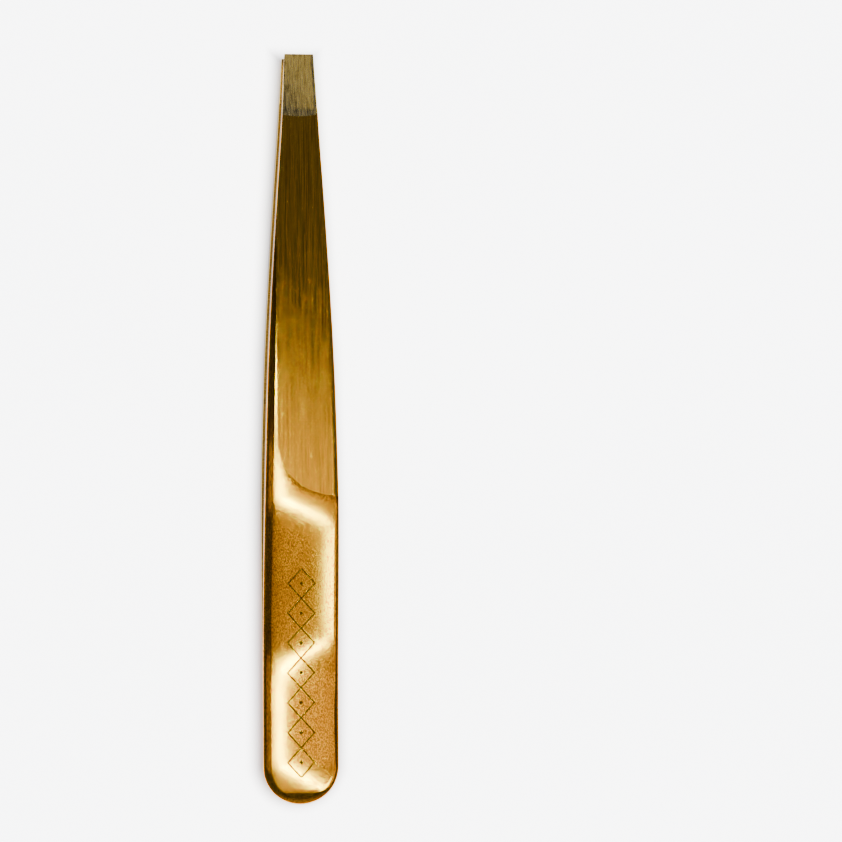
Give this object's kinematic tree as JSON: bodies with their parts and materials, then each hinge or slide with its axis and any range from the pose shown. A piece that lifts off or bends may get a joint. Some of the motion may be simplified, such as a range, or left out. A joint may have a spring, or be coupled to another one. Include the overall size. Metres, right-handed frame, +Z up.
{
  "type": "slant tweezers",
  "caption": "Gold-coated steel beauty tweezers: two sprung arms welded at a round tail, flat-ground blades, gripping pads and square-cut bevelled tips.",
  "frame": {"origin": "bottom centre of the whole object, under the middle of its length, on the surface it lies on", "axes": "+Y along the tweezers from the tail to the tips, +X across the arms, +Z up through both arms, from the lower to the upper"},
  "size_m": [0.0096, 0.095, 0.0095],
  "materials": {
    "gold_coated_steel": "satin and brushed, gold-coloured hard coating",
    "weld_steel": "bare fused steel, hidden"
  },
  "bodies": {
    "tail": {"upper_arm_tail": "gold_coated_steel", "lower_arm_tail": "gold_coated_steel", "weld_nugget_front": "weld_steel", "weld_nugget_rear": "weld_steel"},
    "upper_arm": {"upper_arm_blade": "gold_coated_steel"},
    "lower_arm": {"lower_arm_blade": "gold_coated_steel"}
  },
  "joints": [
    {"name": "upper_squeeze", "type": "hinge", "parent": "tail", "child": "upper_arm", "pos_m": [0, -0.0265, 0.00578], "axis": [-1, 0, 0], "range_deg": [0, 1.84], "stiffness_Nm_per_rad": 3.2},
    {"name": "lower_squeeze", "type": "hinge", "parent": "tail", "child": "lower_arm", "pos_m": [0, -0.0265, 0.00368], "axis": [1, 0, 0], "range_deg": [0, 1.84], "stiffness_Nm_per_rad": 3.2}
  ],
  "couplings": [
    {"joint": "lower_squeeze", "follows": "upper_squeeze", "ratio": 1}
  ]
}
